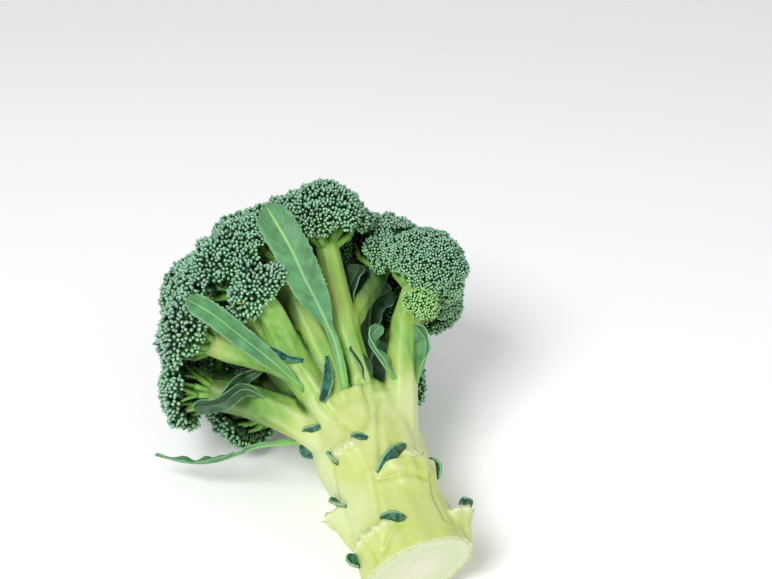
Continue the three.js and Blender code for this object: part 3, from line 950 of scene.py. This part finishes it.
def stem_material(pale, green):
    """Stalk flesh: pale at the cut end, greener up the branches, with painted shade in the creases and painted
    highlights on the swellings, and fine fibres.
    """
    material, tree, shader = new_material("stalk_flesh", 0.42, 0.4)
    fibre = head_noise(tree, 260, 4, 9)
    cloud = head_noise(tree, 55, 3, 2.2)
    colour = mix_colours(tree, span(tree, number(tree, "green"), 0.05, 0.8), pale, green)
    colour = mix_colours(tree, span(tree, cloud, 0.42, 0.68, 0, 0.75), colour, (0.52, 0.59, 0.10))
    # Whitish patches towards the cut end: partly the flesh's own tone, partly painted highlight.
    whitish_and_highlight = span(tree, head_noise(tree, 34, 2, 1.6), 0.5, 0.64, 0, 0.6)
    whitish_and_highlight = maths(tree, "MULTIPLY", whitish_and_highlight, span(tree, number(tree, "green"), 0.5, 0.1))
    colour = mix_colours(tree, whitish_and_highlight, colour, (0.68, 0.76, 0.46))
    # Painted shade: a deeper green in the creases. Painted highlight: paler on the swellings.
    crease = span(tree, number(tree, "crease"), 0.05, 1.0)
    colour = mix_colours(tree, maths(tree, "MULTIPLY", crease, 0.75), colour, (0.33, 0.53, 0.06))
    bulge_highlight = span(tree, number(tree, "crease"), -0.15, -0.8, 0, 0.5)
    colour = mix_colours(tree, bulge_highlight, colour, (0.66, 0.71, 0.40))
    streak = head_noise(tree, 120, 2, 7)
    streak = maths(tree, "MULTIPLY", span(tree, streak, 0.45, 0.65), span(tree, number(tree, "green"), 0.35, 0.9))
    colour = mix_colours(tree, maths(tree, "MULTIPLY", streak, 0.55), colour, (0.12, 0.38, 0.04))
    # Painted shade: a deep green where the branches lie in the shade between each other.
    colour = mix_colours(tree, maths(tree, "MULTIPLY", number(tree, "deep_green_and_shade"), 0.95), colour, (0.03, 0.13, 0.02))
    colour = mix_colours(tree, span(tree, fibre, 0.35, 0.7, 0, 0.3), colour, (0.56, 0.67, 0.27))
    # Painted shade: a near-black green in the valleys between the branches.
    valley_shade = span(tree, number(tree, "valley_shade"), 0.1, 1.7, 0, 0.97)
    colour = mix_colours(tree, valley_shade, colour, (0.02, 0.10, 0.015))
    spots = add_node(tree, "TexCoord").outputs["Object"]
    spots = add_node(tree, "VectorMath", {0: spots, 1: place(0, 0, 0)}, operation="SUBTRACT").outputs[0]
    spots = add_node(tree, "VectorMath", {0: spots, 1: TURN.col[1]}, operation="CROSS_PRODUCT").outputs[0]
    out = add_node(tree, "VectorMath", {0: spots}, operation="LENGTH").outputs["Value"]
    out = maths(tree, "ADD", out, maths(tree, "MULTIPLY", cloud, 0.008))
    flesh = mix_colours(tree, span(tree, out, 0.022, 0.008), (0.66, 0.74, 0.46), (0.82, 0.77, 0.62))
    flesh = mix_colours(tree, span(tree, out, 0.0225, 0.0245, 0, 0.8), flesh, (0.74, 0.80, 0.50))
    scaly = head_noise(tree, 700, 3, 3)
    flesh = mix_colours(tree, span(tree, scaly, 0.38, 0.64, 0, 0.45), flesh, (0.56, 0.68, 0.38))
    torn = maths(tree, "MULTIPLY", number(tree, "torn"), span(tree, scaly, 0.4, 0.6, 0.15, 0.85))
    colour = mix_colours(tree, torn, colour, (0.76, 0.80, 0.55))
    colour = mix_colours(tree, number(tree, "cut"), colour, flesh)
    tree.links.new(colour, shader.inputs["Base Color"])
    ragged = maths(tree, "ADD", number(tree, "torn"), maths(tree, "MULTIPLY", number(tree, "cut"), 0.4))
    rough = maths(tree, "MULTIPLY", scaly, maths(tree, "MULTIPLY", ragged, 2.5))
    add_bump(tree, shader, maths(tree, "ADD", fibre, rough), 0.0004, 0.7)
    return material


def stalklet_material(green):
    """The fine branches: light green, deeper towards the buds."""
    material, tree, shader = new_material("stalklet_green", 0.45, 0.4)
    deep_green_and_shade = (0.13, 0.33, 0.08)
    colour = mix_colours(tree, span(tree, number(tree, "green"), 0.4, 1.0), green, deep_green_and_shade)
    fibre = head_noise(tree, 400, 2, 4)
    colour = mix_colours(tree, span(tree, fibre, 0.35, 0.75, 0, 0.4), colour, (0.42, 0.62, 0.20))
    tree.links.new(colour, shader.inputs["Base Color"])
    add_bump(tree, shader, fibre, 0.0003, 0.5)
    return material


def bud_material(name, dark, light, tip_bloom_and_highlight, gap_shade=(0.004, 0.03, 0.01)):
    """Closed buds: dark with painted shade at the base, a waxy blue-green bloom with a painted highlight on the
    rounded tips, some yellower than others.
    """
    material, tree, shader = new_material(name, 0.3, 0.6)
    tint, tip = number(tree, "tint"), number(tree, "tip")
    fine = head_noise(tree, 900, 2)
    wide = head_noise(tree, 38, 2)
    body = mix_colours(tree, span(tree, tint, 0.15, 0.85), dark, light)
    body = mix_colours(tree, span(tree, wide, 0.52, 0.7, 0, 0.4), body, (0.13, 0.17, 0.13))
    body = mix_colours(tree, number(tree, "young"), body, (0.21, 0.52, 0.15))
    # Pale tips: partly the buds' waxy bloom, partly a painted highlight on each tip.
    bloom_and_highlight = maths(tree, "MULTIPLY", span(tree, tip, 0.55, 1.0), span(tree, fine, 0.3, 0.7, 0.35, 1))
    bloom_and_highlight = maths(tree, "MULTIPLY", bloom_and_highlight, span(tree, tint, 0.0, 1.0, 0.45, 1.0))
    colour = mix_colours(tree, bloom_and_highlight, body, tip_bloom_and_highlight)
    # Painted shade: the bases of the buds and the fillings under the florets take the near-black gap colour.
    shade = span(tree, tip, 0.3, 0.72)
    colour = mix_colours(tree, shade, gap_shade, colour)
    tree.links.new(colour, shader.inputs["Base Color"])
    add_bump(tree, shader, fine, 0.0002, 0.5)
    return material


def leaf_material(name, top, vein, under, base):
    """A leaf: pale midrib and side veins on a mottled green face, with painted shade on the underside."""
    material, tree, shader = new_material(name, 0.5, 0.4)
    uv = add_node(tree, "UVMap", uv_map="leaf").outputs[0]
    parts = add_node(tree, "SeparateXYZ", {0: uv})
    across = maths(tree, "ABSOLUTE", maths(tree, "SUBTRACT", parts.outputs[0], 0.5), 0.0)
    cloud = head_noise(tree, 160, 4)
    bent = maths(tree, "MULTIPLY_ADD", cloud, 0.05)
    slant = maths(tree, "SUBTRACT", parts.outputs[1], maths(tree, "MULTIPLY", across, 0.32))
    comb = maths(tree, "PINGPONG", maths(tree, "MULTIPLY", maths(tree, "ADD", slant, bent), 11.0), 0.5)
    side_vein = span(tree, comb, 0.09, 0.0)
    rib = span(tree, across, 0.07, 0.015)
    veins = maths(tree, "MAXIMUM", maths(tree, "MULTIPLY", side_vein, 0.22), rib)
    colour = mix_colours(tree, span(tree, cloud, 0.32, 0.66), top, tuple(0.6 * c for c in top))
    colour = mix_colours(tree, maths(tree, "MULTIPLY", veins, 0.8), colour, vein)
    margin = span(tree, across, 0.46, 0.5, 0, 0.6)
    colour = mix_colours(tree, margin, colour, (0.30, 0.55, 0.30))
    colour = mix_colours(tree, maths(tree, "MULTIPLY", number(tree, "base"), 0.9), colour, base)
    # Painted shade: the underside takes a darker colour.
    geometry = add_node(tree, "NewGeometry")
    colour = mix_colours(tree, maths(tree, "MULTIPLY", geometry.outputs["Backfacing"], 1.0), colour, under)
    tree.links.new(colour, shader.inputs["Base Color"])
    add_bump(tree, shader, maths(tree, "SUBTRACT", cloud, veins), 0.0005, 0.5)
    return material


def stub_material():
    """What is left of a cut leaf: dark green with a paler torn edge."""
    material, tree, shader = new_material("cut_leaf", 0.5, 0.4)
    fine = head_noise(tree, 420, 4)
    uv = add_node(tree, "UVMap", uv_map="leaf").outputs[0]
    across = add_node(tree, "SeparateXYZ", {0: uv}).outputs[0]
    edge = maths(tree, "ABSOLUTE", maths(tree, "SUBTRACT", across, 0.5), 0.0)
    colour = mix_colours(tree, span(tree, fine, 0.4, 0.65), (0.008, 0.07, 0.04), (0.07, 0.24, 0.15))
    colour = mix_colours(tree, span(tree, edge, 0.45, 0.5, 0, 0.7), colour, (0.34, 0.58, 0.28))
    tree.links.new(colour, shader.inputs["Base Color"])
    add_bump(tree, shader, fine, 0.0005, 0.8)
    return material


# Settings ----------------------------------------------------------------------------------------------------


def colour_property(name, description, value):
    return bpy.props.FloatVectorProperty(
        name=name, description=description, default=value, size=3, min=0, max=1, subtype="COLOR")


def length_property(name, description, value):
    return bpy.props.FloatProperty(name=name, description=description, default=value, min=0, unit="LENGTH")


class BroccoliStem(bpy.types.PropertyGroup):
    ribs: bpy.props.FloatProperty(
        name="Ribs", description="How strongly the stalk is ribbed and lumped", default=1, min=0, max=3)
    pale: colour_property("Pale flesh", "Colour of the stalk near the cut end", (0.53, 0.61, 0.21))
    green: colour_property("Branch green", "Colour of the branches near the buds", (0.19, 0.47, 0.05))


class BroccoliBuds(bpy.types.PropertyGroup):
    width: length_property("Bud width", "Width of one closed bud", 1.5 * MM)
    spacing: length_property("Floret spacing", "Distance between the small domes of a bud head", 8 * MM)
    dark: colour_property("Dark bud", "Colour of the darkest buds", (0.04, 0.17, 0.08))
    light: colour_property("Light bud", "Colour of the lightest buds", (0.13, 0.39, 0.20))
    # The bloom colour is partly a painted highlight on the bud tips.
    tip_bloom_and_highlight: colour_property("Waxy bloom", "Colour of the bloom on the bud tips", (0.66, 0.92, 0.74))


class BroccoliLeaves(bpy.types.PropertyGroup):
    thickness: bpy.props.FloatProperty(
        name="Leaf thickness", description="Thickness of a leaf blade in millimetres", default=0.6, min=0.1, max=3)
    top: colour_property("Leaf face", "Colour of a leaf's upper side", (0.115, 0.34, 0.135))
    vein: colour_property("Vein", "Colour of the midrib and veins", (0.36, 0.62, 0.22))


class BroccoliStage(bpy.types.PropertyGroup):
    lens: bpy.props.FloatProperty(
        name="Lens", description="Focal length of the camera", default=65, min=10, unit="CAMERA")
    sky: bpy.props.FloatProperty(
        name="Sky", description="Strength of the even light all round", default=0.42, min=0)
    key: bpy.props.FloatProperty(name="Key light", description="Power of the large soft light", default=10, min=0)


# Operators ---------------------------------------------------------------------------------------------------


class OBJECT_OT_broccoli_stem(bpy.types.Operator):
    """Build the stalk with its branches in one grown piece"""

    bl_idname = "object.broccoli_stem"
    bl_label = "Stalk and branches"

    def execute(self, context):
        settings = context.scene.broccoli_stem
        build_stem(stem_material(settings.pale, settings.green), settings.ribs)
        return {"FINISHED"}


class OBJECT_OT_broccoli_buds(bpy.types.Operator):
    """Build the bud heads and the fine branches under them"""

    bl_idname = "object.broccoli_buds"
    bl_label = "Bud heads"

    def execute(self, context):
        settings = context.scene.broccoli_buds
        rng = random.Random(41)
        buds_green = bud_material("closed_buds", settings.dark, settings.light, settings.tip_bloom_and_highlight)
        stalklets = stalklet_material(context.scene.broccoli_stem.green)
        florets = [f for head in CROWN for f in spread_florets(head, rng, settings.spacing)]
        buds = spread_buds(florets, rng, settings.width)
        bud, shade_filler = bud_shape(6, 5), bud_shape(8, 6)
        for head in CROWN:
            own = [f for f in florets if f.head is head]
            own_buds = [b for b in buds if b[4].head is head]
            build_bud_head(head, own, own_buds, rng, bud, shade_filler, buds_green, "buds")
            build_stalklets(head, own, own_buds, rng, stalklets)
        return {"FINISHED"}


class OBJECT_OT_broccoli_shoot(bpy.types.Operator):
    """Build the small late side shoot"""

    bl_idname = "object.broccoli_shoot"
    bl_label = "Late side shoot"

    def execute(self, context):
        settings = context.scene.broccoli_buds
        rng = random.Random(7)
        # The young buds' painted shade in the gaps between them is a brighter green.
        young = bud_material(
            "young_buds", dark=(0.14, 0.43, 0.09), light=(0.30, 0.62, 0.16), tip_bloom_and_highlight=(0.72, 0.97, 0.52),
            gap_shade=(0.03, 0.16, 0.02))
        head = next(h for h in HEADS if h.name == "late_shoot")
        florets = spread_florets(head, rng, 0.6 * settings.spacing)
        buds = spread_buds(florets, rng, 0.8 * settings.width)
        build_bud_head(head, florets, buds, rng, bud_shape(8, 6), bud_shape(10, 7), young, "late_buds")
        build_stalklets(head, florets, buds, rng, stalklet_material(context.scene.broccoli_stem.green))
        return {"FINISHED"}


class OBJECT_OT_broccoli_leaves(bpy.types.Operator):
    """Build the slim leaves between the branches"""

    bl_idname = "object.broccoli_leaves"
    bl_label = "Leaves"

    def execute(self, context):
        settings = context.scene.broccoli_leaves
        top = tuple(settings.top)
        # The third colour of each leaf material is the painted shade on its underside.
        light = leaf_material("leaf_face", top, settings.vein, (0.05, 0.22, 0.09), (0.22, 0.48, 0.10))
        deep_green_and_shade = tuple(0.3 * c for c in top)
        dark = leaf_material(
            "leaf_shaded", deep_green_and_shade, tuple(0.8 * c for c in top), (0.02, 0.10, 0.04), (0.12, 0.32, 0.08))
        lit = (
            "leaf_front_long", "leaf_left_long", "leaf_trailing", "leaf_right_curl_left",
            "leaf_right_curl_right")
        for node in LEAVES:
            build_leaf(node, light if node in lit else dark, settings.thickness)
        return {"FINISHED"}


class OBJECT_OT_broccoli_stubs(bpy.types.Operator):
    """Build what is left of the cut leaves on the stalk"""

    bl_idname = "object.broccoli_stubs"
    bl_label = "Leaf stubs"

    def execute(self, context):
        cut_leaf = stub_material()
        skin = BVHTree.FromObject(bpy.data.objects["stalk_and_branches"], context.evaluated_depsgraph_get())
        for index in range(len(STUBS)):
            build_stub(index, skin, cut_leaf)
        build_scales(cut_leaf)
        return {"FINISHED"}


class OBJECT_OT_broccoli_stage(bpy.types.Operator):
    """Set out the floor, the lights and the camera"""

    bl_idname = "object.broccoli_stage"
    bl_label = "Stage"

    def execute(self, context):
        scene = context.scene
        settings = scene.broccoli_stage
        bm = bmesh.new()
        bmesh.ops.create_grid(bm, x_segments=1, y_segments=1, size=3)
        floor = bpy.data.objects.new("floor", to_mesh("floor", bm))
        scene.collection.objects.link(floor)
        white, _, shader = new_material("white_floor", 0.9, 0.0)
        shader.inputs["Base Color"].default_value = (0.98, 0.98, 0.98, 1)
        shader.inputs["Emission Color"].default_value = (1, 1, 1, 1)
        shader.inputs["Emission Strength"].default_value = 0.1
        floor.data.materials.append(white)
        world = bpy.data.worlds.new("sky")
        world.use_nodes = True
        world.node_tree.nodes["Background"].inputs["Color"].default_value = (1, 1, 1, 1)
        world.node_tree.nodes["Background"].inputs["Strength"].default_value = settings.sky
        scene.world = world
        for name, spot, size, power in (
            ("key_light", (-0.55, -0.45, 0.95), 0.42, settings.key),
            ("fill_light", (0.7, -0.6, 0.5), 0.8, 0.2 * settings.key),
        ):
            lamp = bpy.data.lights.new(name, "AREA")
            lamp.size = size
            lamp.energy = power
            light = bpy.data.objects.new(name, lamp)
            light.location = spot
            light.rotation_euler = (Vector((0, 0, 0.05)) - light.location).to_track_quat("-Z", "Y").to_euler()
            scene.collection.objects.link(light)
        origin = place(0, 0, 0)
        camera = bpy.data.objects.new("camera", bpy.data.cameras.new("camera"))
        camera.data.lens = settings.lens
        camera.data.sensor_width = 36
        camera.location = origin + Vector(CAMERA_PLACE) * MM
        aim = origin + Vector(CAMERA_AIM) * MM
        camera.rotation_euler = (aim - camera.location).to_track_quat("-Z", "Y").to_euler()
        scene.collection.objects.link(camera)
        scene.camera = camera
        scene.view_settings.view_transform = "Standard"
        return {"FINISHED"}


class VIEW3D_PT_broccoli(bpy.types.Panel):
    """Sizes, colours and building steps of the broccoli head"""

    bl_label = "Broccoli head"
    bl_space_type = "VIEW_3D"
    bl_region_type = "UI"
    bl_category = "Broccoli"

    def draw(self, context):
        for name in GROUPS:
            box = self.layout.box()
            settings = getattr(context.scene, name)
            for key in settings.__annotations__:
                box.prop(settings, key)
        for step in STEPS:
            self.layout.operator(step.bl_idname)


GROUPS = {
    "broccoli_stem": BroccoliStem,
    "broccoli_buds": BroccoliBuds,
    "broccoli_leaves": BroccoliLeaves,
    "broccoli_stage": BroccoliStage,
}
STEPS = (
    OBJECT_OT_broccoli_stem,
    OBJECT_OT_broccoli_buds,
    OBJECT_OT_broccoli_shoot,
    OBJECT_OT_broccoli_leaves,
    OBJECT_OT_broccoli_stubs,
    OBJECT_OT_broccoli_stage,
)
CLASSES = (*GROUPS.values(), *STEPS, VIEW3D_PT_broccoli)


def register():
    for each in CLASSES:
        bpy.utils.register_class(each)
    for name, group in GROUPS.items():
        setattr(bpy.types.Scene, name, bpy.props.PointerProperty(type=group))


def unregister():
    for name in GROUPS:
        delattr(bpy.types.Scene, name)
    for each in reversed(CLASSES):
        bpy.utils.unregister_class(each)


def main():
    register()
    bpy.ops.object.broccoli_stem()
    bpy.ops.object.broccoli_buds()
    bpy.ops.object.broccoli_shoot()
    bpy.ops.object.broccoli_leaves()
    bpy.ops.object.broccoli_stubs()
    bpy.ops.object.broccoli_stage()


if __name__ == "__main__":
    main()
